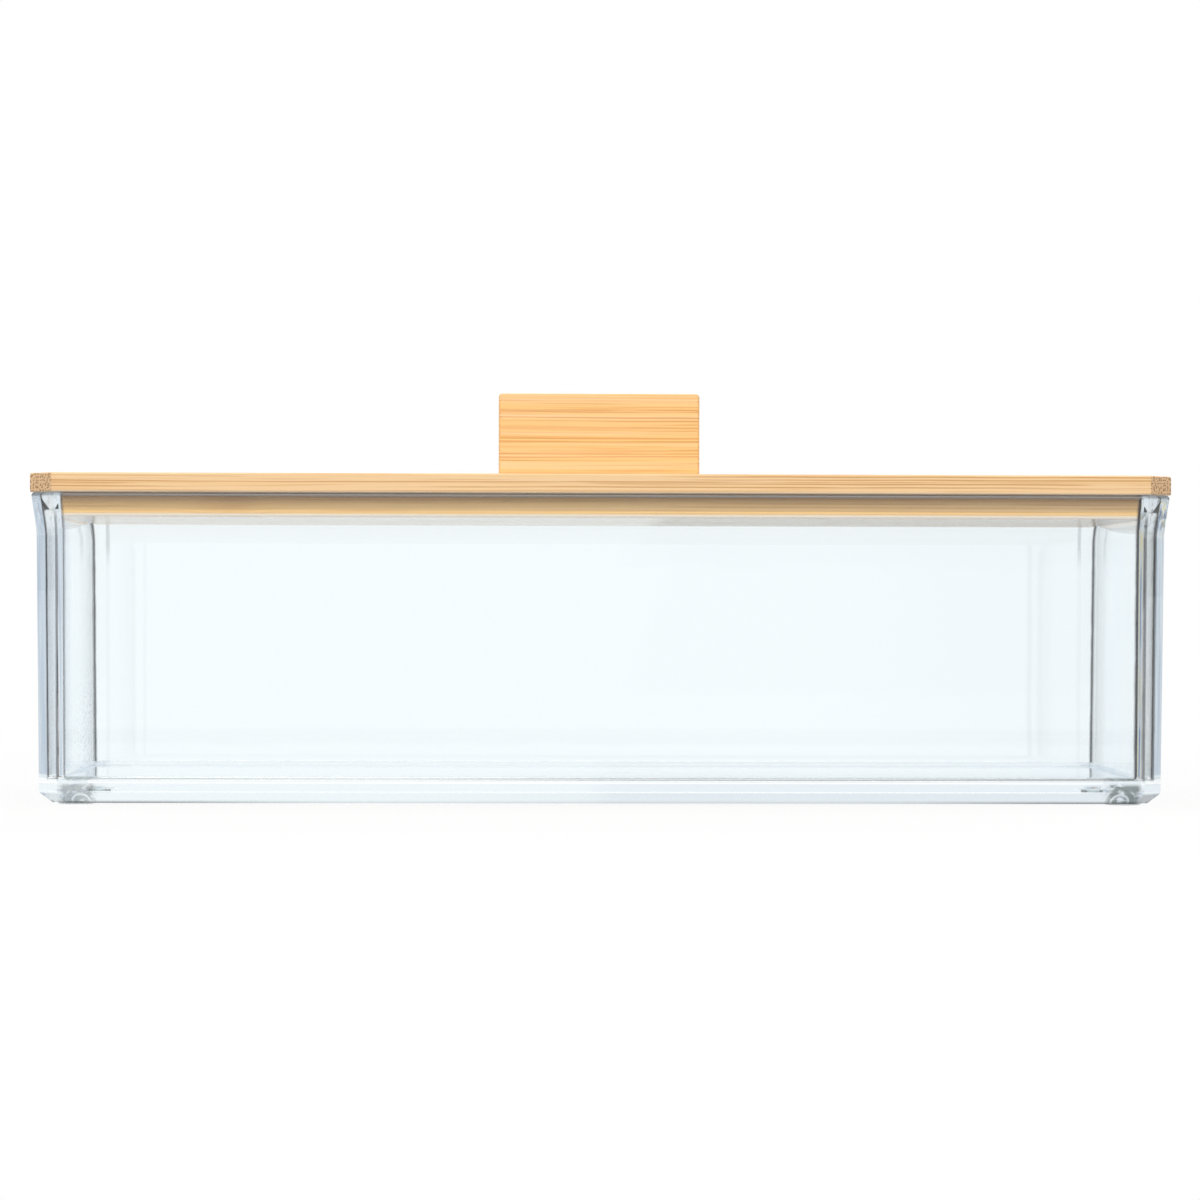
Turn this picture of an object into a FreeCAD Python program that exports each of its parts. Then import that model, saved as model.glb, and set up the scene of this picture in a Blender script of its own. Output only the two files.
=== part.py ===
"""Low clear storage box with clipped corners and a lift-off bamboo lid.

Frame: millimetres, +Z up, X along the box's long side, the front faces -Y.  The origin is the
bottom centre: Z = 0 is the plane that the four soft feet stand on.

The box is one moulding with a flared mouth.  The lid is a board with a smaller locating board
glued beneath it and an upright tab handle screwed on from below before the two boards are joined,
so the screw heads end up hidden between them.
"""
import FreeCAD
import Part

import math
import os

# ---- lid board -------------------------------------------------------------------------------
LID_WIDTH = 250.0
LID_DEPTH = 90.0
LID_THICKNESS = 4.2
LID_CORNER_LEG = 5.4
LID_EDGE_RADIUS = 0.35

# ---- locating board under the lid --------------------------------------------------------------
PLUG_THICKNESS = 5.1
PLUG_CLEARANCE = 0.6
PLUG_LOWER_RADIUS = 1.2
PLUG_UPPER_RADIUS = 0.2

# ---- tab handle --------------------------------------------------------------------------------
HANDLE_WIDTH = 46.0
HANDLE_HEIGHT = 20.0
HANDLE_THICKNESS = 8.0
HANDLE_TOP_RADIUS = 0.8
HANDLE_SIDE_RADIUS = 0.6

# ---- clear box ---------------------------------------------------------------------------------
BOX_HEIGHT = 67.8
BOX_CORNER_LEG = 5.6
RIM_SETBACK = 0.15
RIM_RADIUS = 0.7
WALL = 3.1
BASE_THICKNESS = 5.1
FLARE_REACH = 1.2
FLARE_HEIGHT = 8.4
FLARE_BLEND_RADIUS = 20.0
DRAFT_REACH = 0.6
BEVEL_REACH = 2.8
BEVEL_HEIGHT = 2.3
BEVEL_RADIUS = 1.0
FLOOR_RADIUS = 1.0
GATE_RECESS_DIAMETER = 18.5
GATE_RECESS_DEPTH = 0.5

# ---- feet --------------------------------------------------------------------------------------
FOOT_DIAMETER = 8.0
FOOT_PROUD = 0.3
FOOT_EDGE_RADIUS = 0.25
FOOT_POCKET_DEPTH = 1.2
FOOT_POCKET_CLEARANCE = 0.1
FOOT_EDGE_DISTANCE = 7.9

# ---- handle screws -----------------------------------------------------------------------------
SCREW_END_DISTANCE = 9.0
SCREW_LENGTH = 18.0
SCREW_SHANK_DIAMETER = 3.0
SCREW_HEAD_DIAMETER = 5.6
SCREW_TIP_LENGTH = 3.0
SCREW_HOLE_CLEARANCE = 0.15
SCREW_HEAD_SINK = 0.1
DRIVE_SLOT_LENGTH = 3.4
DRIVE_SLOT_WIDTH = 0.7
DRIVE_SLOT_DEPTH = 0.8

# ---- levels worked out from the sizes above -----------------------------------------------------
BASE_Z = FOOT_PROUD
FLOOR_Z = BASE_Z + BASE_THICKNESS
RIM_Z = BASE_Z + BOX_HEIGHT
SHOULDER_Z = RIM_Z - FLARE_HEIGHT
BEVEL_Z = BASE_Z + BEVEL_HEIGHT
PLUG_Z = RIM_Z - PLUG_THICKNESS
LID_TOP_Z = RIM_Z + LID_THICKNESS
POCKET_Z = BASE_Z + FOOT_POCKET_DEPTH
SCREW_X = HANDLE_WIDTH / 2 - SCREW_END_DISTANCE

# ---- outlines: width, depth and leg of the clipped corners ------------------------------------
LID_OUTLINE = (LID_WIDTH, LID_DEPTH, LID_CORNER_LEG)
RIM_OUTLINE = (LID_WIDTH - 2 * RIM_SETBACK, LID_DEPTH - 2 * RIM_SETBACK, BOX_CORNER_LEG)
CUT_MARGIN = 1.0
UP = FreeCAD.Vector(0, 0, 1)


def rounded_wire(corners):
    """Closed wire in the XZ plane through (x, z, radius) corners, each rounded by a tangent arc."""
    points = [FreeCAD.Vector(x, 0, z) for x, z, _ in corners]
    arcs = []
    for index, (_, _, radius) in enumerate(corners):
        corner = points[index]
        before = (points[index - 1] - corner).normalize()
        after = (points[(index + 1) % len(points)] - corner).normalize()
        half_angle = before.getAngle(after) / 2
        tangent = radius / math.tan(half_angle)
        depth = radius / math.sin(half_angle) - radius
        middle = corner + (before + after).normalize() * depth
        arcs.append((corner + before * tangent, middle, corner + after * tangent))
    edges = []
    for index, (start, middle, end) in enumerate(arcs):
        edges.append(Part.LineSegment(arcs[index - 1][2], start).toShape())
        if corners[index][2] > 0:
            edges.append(Part.Arc(start, middle, end).toShape())
    return Part.Wire(edges)


def clipped_solid(outline, section):
    """Solid on a rectangle with clipped corners, whose side section is the same all the way round.

    section is a list of (inset, z, radius) from the bottom up: how far the face lies inside the
    outline at each height.  The solid is what four straight bars of that section have in common,
    one bar for each pair of opposite sides.
    """
    width, depth, leg = outline
    diagonal = (width + depth - 2 * leg) / math.sqrt(2)
    reach = width + depth
    solid = None
    for angle, span in ((0, width), (90, depth), (45, diagonal), (135, diagonal)):
        right = [(span / 2 - inset, z, radius) for inset, z, radius in section]
        left = [(-x, z, radius) for x, z, radius in reversed(right)]
        bar = Part.Face(rounded_wire(right + left)).extrude(FreeCAD.Vector(0, 2 * reach, 0))
        bar.translate(FreeCAD.Vector(0, -reach, 0))
        bar.rotate(FreeCAD.Vector(0, 0, 0), UP, angle)
        solid = bar if solid is None else solid.common(bar)
    return solid.removeSplitter()


def outer_inset(z):
    """Inset of the box's outer face from the rim outline at height z, above the bottom bevel."""
    if z >= SHOULDER_Z:
        return FLARE_REACH * (RIM_Z - z) / FLARE_HEIGHT
    return FLARE_REACH + DRAFT_REACH * (SHOULDER_Z - z) / (SHOULDER_Z - BEVEL_Z)


def inner_inset(z):
    """Inset of the box's inner face from the rim outline at height z."""
    return outer_inset(z) + WALL


def foot_centres():
    """Name and centre of each foot, the same distance in from the sides of the box's base."""
    base_inset = outer_inset(BEVEL_Z)
    x = RIM_OUTLINE[0] / 2 - base_inset - FOOT_EDGE_DISTANCE
    y = RIM_OUTLINE[1] / 2 - base_inset - FOOT_EDGE_DISTANCE
    return {
        "foot_front_left": (-x, -y),
        "foot_front_right": (x, -y),
        "foot_back_left": (-x, y),
        "foot_back_right": (x, y),
    }


def box_outside():
    """The moulding's outer skin: bevelled base, drafted walls and flared mouth with a round rim."""
    return clipped_solid(
        RIM_OUTLINE,
        [
            (outer_inset(BEVEL_Z) + BEVEL_REACH, BASE_Z, 0),
            (outer_inset(BEVEL_Z), BEVEL_Z, BEVEL_RADIUS),
            (outer_inset(SHOULDER_Z), SHOULDER_Z, FLARE_BLEND_RADIUS),
            (0, RIM_Z, RIM_RADIUS),
        ],
    )


def box_cavity():
    """The space inside the walls, which opens out over the rounded inner edge of the rim."""
    return clipped_solid(
        RIM_OUTLINE,
        [
            (inner_inset(FLOOR_Z), FLOOR_Z, FLOOR_RADIUS),
            (inner_inset(SHOULDER_Z), SHOULDER_Z, FLARE_BLEND_RADIUS),
            (inner_inset(RIM_Z), RIM_Z, RIM_RADIUS),
            (inner_inset(RIM_Z) - 2 * RIM_RADIUS, RIM_Z, 0),
            (inner_inset(RIM_Z) - 2 * RIM_RADIUS, RIM_Z + CUT_MARGIN, 0),
        ],
    )


def box_body():
    """The clear moulding, with a pocket for each foot and a shallow gate recess under its base."""
    body = box_outside().cut(box_cavity())
    recess = Part.makeCylinder(
        GATE_RECESS_DIAMETER / 2,
        GATE_RECESS_DEPTH + CUT_MARGIN,
        FreeCAD.Vector(0, 0, BASE_Z - CUT_MARGIN),
    )
    body = body.cut(recess)
    for x, y in foot_centres().values():
        pocket = Part.makeCylinder(
            FOOT_DIAMETER / 2 + FOOT_POCKET_CLEARANCE,
            FOOT_POCKET_DEPTH + CUT_MARGIN,
            FreeCAD.Vector(x, y, BASE_Z - CUT_MARGIN),
        )
        body = body.cut(pocket)
    return body


def foot(x, y):
    """Soft round pad pressed up into its pocket, standing a little proud of the base."""
    pad = Part.makeCylinder(FOOT_DIAMETER / 2, POCKET_Z, FreeCAD.Vector(x, y, 0))
    lower_edge = min(pad.Edges, key=lambda edge: edge.CenterOfMass.z)
    return pad.makeFillet(FOOT_EDGE_RADIUS, [lower_edge])


def screw_blank(x):
    """Countersunk wood screw without its drive slots, standing head down at x."""
    head_z = RIM_Z + SCREW_HEAD_SINK
    head_radius = SCREW_HEAD_DIAMETER / 2
    shank_radius = SCREW_SHANK_DIAMETER / 2
    tip_z = head_z + SCREW_LENGTH
    neck_z = head_z + head_radius - shank_radius
    profile = [
        FreeCAD.Vector(0, 0, head_z),
        FreeCAD.Vector(head_radius, 0, head_z),
        FreeCAD.Vector(shank_radius, 0, neck_z),
        FreeCAD.Vector(shank_radius, 0, tip_z - SCREW_TIP_LENGTH),
        FreeCAD.Vector(0, 0, tip_z),
        FreeCAD.Vector(0, 0, head_z),
    ]
    turned = Part.Face(Part.makePolygon(profile)).revolve(FreeCAD.Vector(0, 0, 0), UP, 360)
    turned.translate(FreeCAD.Vector(x, 0, 0))
    return turned


def screw_hole(x):
    """Clearance hole through the lid board with a countersink opening at its underside."""
    shank_radius = SCREW_SHANK_DIAMETER / 2 + SCREW_HOLE_CLEARANCE
    head_radius = SCREW_HEAD_DIAMETER / 2 + SCREW_HOLE_CLEARANCE
    sunk_z = RIM_Z + SCREW_HEAD_SINK
    mouth = Part.makeCylinder(head_radius, sunk_z - RIM_Z, FreeCAD.Vector(x, 0, RIM_Z))
    cone_height = head_radius - shank_radius
    cone = Part.makeCone(head_radius, shank_radius, cone_height, FreeCAD.Vector(x, 0, sunk_z))
    shank = Part.makeCylinder(shank_radius, LID_THICKNESS, FreeCAD.Vector(x, 0, RIM_Z))
    return mouth.fuse([cone, shank])


def handle_screw(x):
    """Countersunk screw with a cross slot, driven up through the lid board into the handle."""
    screw = screw_blank(x)
    head_z = RIM_Z + SCREW_HEAD_SINK
    for along, across in (
        (DRIVE_SLOT_LENGTH, DRIVE_SLOT_WIDTH),
        (DRIVE_SLOT_WIDTH, DRIVE_SLOT_LENGTH),
    ):
        slot = Part.makeBox(
            along,
            across,
            DRIVE_SLOT_DEPTH,
            FreeCAD.Vector(x - along / 2, -across / 2, head_z),
        )
        screw = screw.cut(slot)
    return screw


def lid_board():
    """Flat bamboo board over the whole mouth, its long edges eased, drilled for the handle."""
    board = clipped_solid(
        LID_OUTLINE,
        [
            (0, RIM_Z, LID_EDGE_RADIUS),
            (0, LID_TOP_Z, LID_EDGE_RADIUS),
        ],
    )
    for side in (-1, 1):
        board = board.cut(screw_hole(side * SCREW_X))
    return board


def lid_plug():
    """Smaller board glued under the lid, which drops into the mouth and stops the lid sliding."""
    inset = inner_inset(PLUG_Z) + PLUG_CLEARANCE
    return clipped_solid(
        RIM_OUTLINE,
        [
            (inset, PLUG_Z, PLUG_LOWER_RADIUS),
            (inset, RIM_Z, PLUG_UPPER_RADIUS),
        ],
    )


def handle_bar(span, top_radius, bottom_radius):
    """Long bar along Y whose section is the handle's height by span, with rounded corners."""
    reach = HANDLE_WIDTH + HANDLE_THICKNESS
    corners = [
        (span / 2, LID_TOP_Z, bottom_radius),
        (span / 2, LID_TOP_Z + HANDLE_HEIGHT, top_radius),
        (-span / 2, LID_TOP_Z + HANDLE_HEIGHT, top_radius),
        (-span / 2, LID_TOP_Z, bottom_radius),
    ]
    bar = Part.Face(rounded_wire(corners)).extrude(FreeCAD.Vector(0, 2 * reach, 0))
    bar.translate(FreeCAD.Vector(0, -reach, 0))
    return bar


def lid_handle():
    """Upright tab with eased edges, drilled from below for its two screws."""
    front = handle_bar(HANDLE_WIDTH, HANDLE_TOP_RADIUS, 0)
    side = handle_bar(HANDLE_THICKNESS, HANDLE_TOP_RADIUS, 0)
    side.rotate(FreeCAD.Vector(0, 0, 0), UP, 90)
    tab = front.common(side)
    middle_z = LID_TOP_Z + HANDLE_HEIGHT / 2
    upright = [
        edge
        for edge in tab.Edges
        if abs(edge.BoundBox.ZLength) > HANDLE_HEIGHT / 2
        and abs(edge.CenterOfMass.z - middle_z) < HANDLE_HEIGHT / 4
    ]
    tab = tab.makeFillet(HANDLE_SIDE_RADIUS, upright)
    for side_sign in (-1, 1):
        tab = tab.cut(screw_blank(side_sign * SCREW_X))
    return tab


def build_parts():
    """Every piece of the object by its node name."""
    pieces = {
        "box_body": box_body(),
        "lid_board": lid_board(),
        "lid_plug": lid_plug(),
        "lid_handle": lid_handle(),
        "handle_screw_left": handle_screw(-SCREW_X),
        "handle_screw_right": handle_screw(SCREW_X),
    }
    for name, (x, y) in foot_centres().items():
        pieces[name] = foot(x, y)
    return pieces


def main():
    """Write one STEP file for each piece."""
    os.makedirs("parts", exist_ok=True)
    for name, shape in build_parts().items():
        shape.exportStep("parts/" + name + ".step")
        print(name, len(shape.Solids), round(shape.Volume, 2), shape.isValid())


main()
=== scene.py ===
"""Clear storage box with a lift-off bamboo lid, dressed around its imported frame.

The file is laid out as an add-on and run as a script.  Each operator makes one piece or one group
of like pieces; every new mesh is a set of grids worked out with numpy and closed by flat caps.
"""
import math

import bmesh
import bpy
import numpy as np
from bpy.props import FloatProperty, FloatVectorProperty, PointerProperty
from mathutils import Matrix, Vector


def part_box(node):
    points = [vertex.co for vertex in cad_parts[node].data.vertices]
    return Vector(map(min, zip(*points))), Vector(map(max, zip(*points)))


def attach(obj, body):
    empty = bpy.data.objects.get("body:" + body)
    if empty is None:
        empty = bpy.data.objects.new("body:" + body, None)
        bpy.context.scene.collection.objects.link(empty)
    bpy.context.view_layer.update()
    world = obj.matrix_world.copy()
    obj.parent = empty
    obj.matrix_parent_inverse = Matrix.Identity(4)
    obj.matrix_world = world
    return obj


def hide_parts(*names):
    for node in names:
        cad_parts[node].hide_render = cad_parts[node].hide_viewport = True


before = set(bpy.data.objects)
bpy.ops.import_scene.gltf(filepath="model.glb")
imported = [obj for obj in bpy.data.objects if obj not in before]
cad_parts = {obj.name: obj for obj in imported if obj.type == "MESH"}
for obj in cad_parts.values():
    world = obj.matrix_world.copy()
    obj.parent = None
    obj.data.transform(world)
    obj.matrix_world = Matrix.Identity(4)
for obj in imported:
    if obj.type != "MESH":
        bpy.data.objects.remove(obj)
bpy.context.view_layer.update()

bl_info = {
    "name": "Clear box with bamboo lid",
    "version": (1, 0, 0),
    "blender": (4, 5, 0),
    "location": "View3D > Sidebar > Clear Box",
    "description": "Builds a clear storage box with a lift-off bamboo lid",
    "category": "Add Mesh",
}

MM = 0.001
FEET = ("foot_front_left", "foot_front_right", "foot_back_left", "foot_back_right")
SCREWS = ("handle_screw_left", "handle_screw_right")

ARC_STEPS = 6
CORNER_STEPS = 6
ROUND_STEPS = 64
HOLE_STEPS = 32
LEVEL_RUN = 0.6 * MM
FLOOR_REACH = 6.0

BLACK = (0.0, 0.0, 0.0)
WHITE = (1.0, 1.0, 1.0)


# ---- sizes and looks a user would change --------------------------------------------------------


def length(name, description, millimetres):
    """A length property with its default in millimetres."""
    return FloatProperty(
        name=name, description=description, default=millimetres * MM, unit="LENGTH", precision=5
    )


def paint(name, description, red, green, blue):
    """A colour property."""
    return FloatVectorProperty(
        name=name, description=description, default=(red, green, blue), subtype="COLOR", size=3
    )


def number(name, description, value):
    """A plain number property."""
    return FloatProperty(name=name, description=description, default=value)


class ClearBoxSizes(bpy.types.PropertyGroup):
    """Sizes of the clear moulding that its outer box doesn't give."""

    wall: length("Wall", "Thickness of the walls", 3.1)
    base: length("Base", "Thickness of the base", 5.1)
    corner_leg: length("Corner leg", "Leg of the clipped corners at the rim", 5.6)
    setback: length("Setback", "How far the rim lies inside the lid's edge", 0.15)
    flare_reach: length("Flare reach", "How far the mouth opens out", 1.2)
    flare_height: length("Flare height", "Height of the flared part under the rim", 8.4)
    flare_blend: length("Flare blend", "Radius where the wall starts to flare", 20.0)
    draft_reach: length("Draft", "How far the walls lean in from the flare to the bevel", 0.6)
    bevel_reach: length("Bevel reach", "Width of the bevel under the base", 2.8)
    bevel_height: length("Bevel height", "Height of the bevel under the base", 2.3)
    bevel_radius: length("Bevel radius", "Radius of the bevel's upper and lower edges", 1.0)
    rim_radius: length("Rim radius", "Radius of the two edges of the rim", 0.7)
    floor_radius: length("Floor radius", "Radius between the floor and the walls", 1.0)
    outer_corner: length("Outer corner", "Radius of the upright outer edges", 0.45)
    inner_corner: length("Inner corner", "Radius of the upright inner edges", 0.6)
    recess_radius: length("Recess radius", "Radius of the gate recess under the base", 9.25)
    recess_depth: length("Recess depth", "Depth of the gate recess under the base", 0.5)
    pocket_depth: length("Pocket depth", "Depth of the pockets that hold the feet", 1.2)
    pocket_gap: length("Pocket gap", "Clearance round a foot in its pocket", 0.1)
    soft_edge: length("Soft edge", "Radius of the pockets' and the recess's edges", 0.12)


class LidSizes(bpy.types.PropertyGroup):
    """Sizes of the bamboo pieces that their boxes don't give."""

    corner_leg: length("Corner leg", "Leg of the lid's clipped corners", 5.4)
    edge: length("Edge", "Radius of the lid board's edges", 0.35)
    plug_clearance: length("Plug clearance", "Gap between the locating board and the mouth", 0.6)
    plug_lower: length("Plug lower edge", "Radius of the locating board's lower edge", 1.2)
    plug_upper: length("Plug upper edge", "Radius of the locating board's upper edge", 0.2)
    handle_top: length("Handle top", "Radius of the handle's upper edges", 0.8)
    handle_side: length("Handle side", "Radius of the handle's upright edges", 0.6)
    hole_clearance: length("Hole clearance", "Gap round a screw in the lid board", 0.15)
    screw_shank: length("Screw shank", "Radius of the screws' shank", 1.5)
    screw_head: length("Screw head", "Radius of the screws' head", 2.8)
    screw_tip: length("Screw tip", "Length of the screws' tapered tip", 3.0)


class BambooLook(bpy.types.PropertyGroup):
    """Colours and scale of the bamboo."""

    pale: paint("Pale", "Colour of the lightest wood", 0.99, 0.67, 0.36)
    warm: paint("Warm", "Colour of the most golden wood", 0.955, 0.61, 0.243)
    fibre: paint("Fibre", "Colour of the dark fibre lines", 0.62, 0.29, 0.075)
    # painted highlight: the paler colour of the rounded lower edges, which also glow in it
    edge_highlight: paint("Eased", "Colour of the wood on rounded lower edges", 1.0, 0.86, 0.72)
    end_wood: paint("End wood", "Colour of the wood on cut ends", 0.90, 0.60, 0.34)
    end_fibre: paint("End fibre", "Colour of the fibre dots on cut ends", 0.22, 0.10, 0.035)
    under: paint("Under", "Light that the clear box throws up at the underside", 0.36, 0.37, 0.38)
    pitch: length("Pitch", "Distance between neighbouring fibres", 0.57)
    strip: length("Strip", "Width of the strips that the boards are glued from", 18.2)


class PlasticLook(bpy.types.PropertyGroup):
    """Colour and finish of the clear moulding and its feet."""

    tint: paint("Tint", "Colour that one wall gives to what shows through it", 0.955, 0.989, 1.0)
    ior: number("Index", "Refractive index of the clear plastic", 1.58)
    gloss: number("Roughness", "Roughness of the polished plastic", 0.015)
    echoes: number("Echoes", "Reflections inside the plastic before light leaks out of it", 1.0)
    # painted shade: near black laid into the plastic along its edges, corners, rim, bend and base
    edge: paint("Edge", "Colour of the plastic's upright edges and rim", 0.006, 0.007, 0.008)
    # painted shade: dark grey laid over the front feet, and glowing at the front of the floor and its
    # edge
    painted_grey: paint("Milky", "Colour of the plastic above the feet", 0.05, 0.065, 0.055)
    trapped: paint("Trapped", "Dullest light that is trapped in the walls", 0.42, 0.51, 0.62)
    leak: paint("Leak", "Brightest light trapped in the walls and the base", 0.88, 0.94, 0.97)
    yellow: paint("Yellow", "Yellow fringe of the light in the right wall", 0.80, 0.74, 0.44)
    blue: paint("Blue", "Blue fringe of the light in the right wall", 0.16, 0.27, 0.45)
    pad: paint("Pad", "Colour of the soft feet", 0.86, 0.90, 0.90)
    pad_light: paint("Pad light", "Colour of the soft feet's lightest grain", 0.93, 0.95, 0.95)


class StudioLook(bpy.types.PropertyGroup):
    """Light, floor and camera of the stage."""

    sky: number("Sky", "Strength of the even light from all round", 0.35)
    floor: number("Floor", "Share of the light that the floor gives back where it is seen", 0.95)
    bounce: number("Bounce", "Share of the light that the floor throws back on the object", 0.40)
    shadow: number("Shadow", "Share of the object's shadow that shows on the floor", 0.15)
    dusk: number("Dusk", "How much darker the far left and right show in reflections", 0.8)
    gap: number("Gap", "How much darker reflections are to the right of the soft box", 0.25)
    lens: number("Lens", "Focal length in millimetres on a 36 mm sensor", 104.33)
    distance: length("Distance", "Camera's distance in front of the lid's edge", 756.0)
    side: length("Side", "How far left of the middle the camera stands", 17.4)
    height: length("Height", "Camera's height above the floor", 42.9)
    turn: FloatProperty(
        name="Turn", description="Camera's turn to the right", default=math.radians(1.271),
        subtype="ANGLE",
    )
    roll: FloatProperty(
        name="Roll", description="Camera's roll", default=math.radians(0.137), subtype="ANGLE"
    )
    shift: number("Shift", "Upward shift of the lens, in picture widths", 0.0075)


# ---- outlines and profiles ----------------------------------------------------------------------


def clipped_outline(width, depth, leg):
    """Outward distance of each side of a rectangle with clipped corners, 45 degrees apart.

    A clipped side stands at (width + depth - 2 leg) / (2 root 2) from the centre.
    """
    clip = (width + depth - 2 * leg) / (2 * math.sqrt(2))
    return np.array([width / 2, clip, depth / 2, clip] * 2)


def plain_outline(width, depth):
    """Outward distance of each side of a rectangle, 90 degrees apart."""
    return np.array([width / 2, depth / 2] * 2)


def profile(*corners):
    """Stations along a path of (out, up, radius) corners, each rounded by a tangent arc.

    Returns the points and their normals.  The normal is the path's direction turned a quarter
    turn clockwise, so the material lies to the path's left.  Between the two tangent points of a
    corner the normal's angle runs evenly, and the point is the arc's centre plus the radius times
    the normal; the radius counts as negative where the corner is hollow.
    """
    path = np.array([corner[:2] for corner in corners], float)
    step = np.diff(path, axis=0)
    step /= np.linalg.norm(step, axis=1)[:, None]
    normal_angle = np.arctan2(step[:, 1], step[:, 0]) - math.pi / 2
    sweep = np.linspace(0, 1, ARC_STEPS + 1)
    points = [path[:1]]
    angles = [normal_angle[:1]]
    for index in range(1, len(corners) - 1):
        before = normal_angle[index - 1]
        turn = (normal_angle[index] - before + math.pi) % (2 * math.pi) - math.pi
        radius = corners[index][2] * np.sign(turn)
        start = path[index] - step[index - 1] * radius * math.tan(turn / 2)
        centre = start - radius * np.array([math.cos(before), math.sin(before)])
        swept = before + turn * sweep
        points.append(centre + radius * np.stack([np.cos(swept), np.sin(swept)], axis=1))
        angles.append(swept)
    points.append(path[-1:])
    angles.append(normal_angle[-1:])
    angles = np.concatenate(angles)
    return np.concatenate(points), np.stack([np.cos(angles), np.sin(angles)], axis=1)


def swept_ring(spans, round_radius, stations):
    """A profile carried round an outline whose corners are rounded in plan.

    Where a station lies `out` beyond the outline, the corner of two neighbouring sides moves
    along their bisector by out / cos(half turn).  The rounding's centre lies
    radius / cos(half turn) inside it, and a point is that centre plus radius times the way it
    faces.  The normal's plan part follows that way, and its rise is the profile's own times
    cos(angle from the bisector) / cos(half turn), as the cross product of both tangents gives.
    """
    points, normals = stations
    sides = len(spans)
    turn = 2 * math.pi / sides
    half = turn / 2
    angles = np.arange(sides) * turn
    out = np.stack([np.cos(angles), np.sin(angles)], axis=1)
    along = np.stack([-np.sin(angles), np.cos(angles)], axis=1)
    reach_along = (np.roll(spans, -1) - spans * math.cos(turn)) / math.sin(turn)
    corner = out * spans[:, None] + along * reach_along[:, None]
    corner = np.repeat(corner, CORNER_STEPS + 1, axis=0)
    offset = np.tile(np.linspace(-half, half, CORNER_STEPS + 1), sides)
    middle = np.repeat(angles + half, CORNER_STEPS + 1)
    bisector = np.stack([np.cos(middle), np.sin(middle)], axis=1)
    facing = np.stack([np.cos(middle + offset), np.sin(middle + offset)], axis=1)
    radius = np.broadcast_to(round_radius, len(points))[:, None, None]
    centre = corner + (points[:, 0][:, None, None] - radius) / math.cos(half) * bisector
    plan = centre + radius * facing
    rise = normals[:, 1][:, None] * np.cos(offset) / math.cos(half)
    return stacked(plan, points[:, 1]), np.concatenate(
        [normals[:, 0][:, None, None] * facing, rise[:, :, None]], axis=2
    )


def turned_ring(centre, stations, columns=ROUND_STEPS):
    """A profile of (radius, height) turned about the upright axis through centre."""
    points, normals = stations
    angle = np.linspace(0, 2 * math.pi, columns, endpoint=False)
    facing = np.stack([np.cos(angle), np.sin(angle)], axis=1)
    plan = np.array(centre) + points[:, 0][:, None, None] * facing
    plan_normals = normals[:, 0][:, None, None] * facing
    return stacked(plan, points[:, 1]), stacked(plan_normals, normals[:, 1])


def stacked(plan, heights):
    """A grid of plan points with one height for each row."""
    up = np.broadcast_to(heights[:, None, None], plan.shape[:2] + (1,))
    return np.concatenate([plan, up], axis=2)


class Skin:
    """Gathers grids of points and normals, caps their open ends and makes one closed mesh."""

    def __init__(self):
        self.points = []
        self.normals = []
        self.quads = []
        self.caps = []
        self.count = 0

    def grid(self, surface):
        """Adds a grid that closes round its columns, and returns its first and last rows."""
        points, normals = surface
        rows, columns = points.shape[:2]
        index = self.count + np.arange(rows * columns).reshape(rows, columns)
        beside = np.roll(index, -1, axis=1)
        quads = np.stack([index[:-1], beside[:-1], beside[1:], index[1:]], axis=-1)
        self.points.append(points.reshape(-1, 3))
        self.normals.append(normals.reshape(-1, 3))
        self.quads.append(quads.reshape(-1, 4))
        self.count += rows * columns
        return index[0], index[-1]

    def cap(self, facing, *loops):
        """Asks for a flat face, facing up (1) or down (-1), inside one loop and round the rest."""
        self.caps.append((facing, loops))

    def build(self, name, material, body, node):
        """Makes the mesh object, which rides on a body and stands for the named node."""
        mesh = bpy.data.meshes.new(name)
        points = np.concatenate(self.points)
        mesh.from_pydata(points.tolist(), [], np.concatenate(self.quads).tolist())
        shell = bmesh.new()
        shell.from_mesh(mesh)
        shell.verts.ensure_lookup_table()
        for facing, loops in self.caps:
            edges = [
                shell.edges.get((shell.verts[a], shell.verts[b]))
                for loop in loops
                for a, b in zip(loop, np.roll(loop, -1))
            ]
            made = bmesh.ops.triangle_fill(shell, edges=edges, use_beauty=True)["geom"]
            faces = [item for item in made if isinstance(item, bmesh.types.BMFace)]
            for face in faces:
                face.normal_update()
            over = [face for face in faces if face.normal.z * facing < 0]
            bmesh.ops.reverse_faces(shell, faces=over)
        shell.to_mesh(mesh)
        shell.free()
        mesh.shade_smooth()
        normals = np.concatenate(self.normals)
        normals /= np.linalg.norm(normals, axis=1)[:, None]
        mesh.normals_split_custom_set_from_vertices(normals.tolist())
        piece = bpy.data.objects.new(name, mesh)
        bpy.context.scene.collection.objects.link(piece)
        mesh.materials.append(material)
        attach(piece, body)
        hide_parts(node)


# ---- shader writing -----------------------------------------------------------------------------


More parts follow.
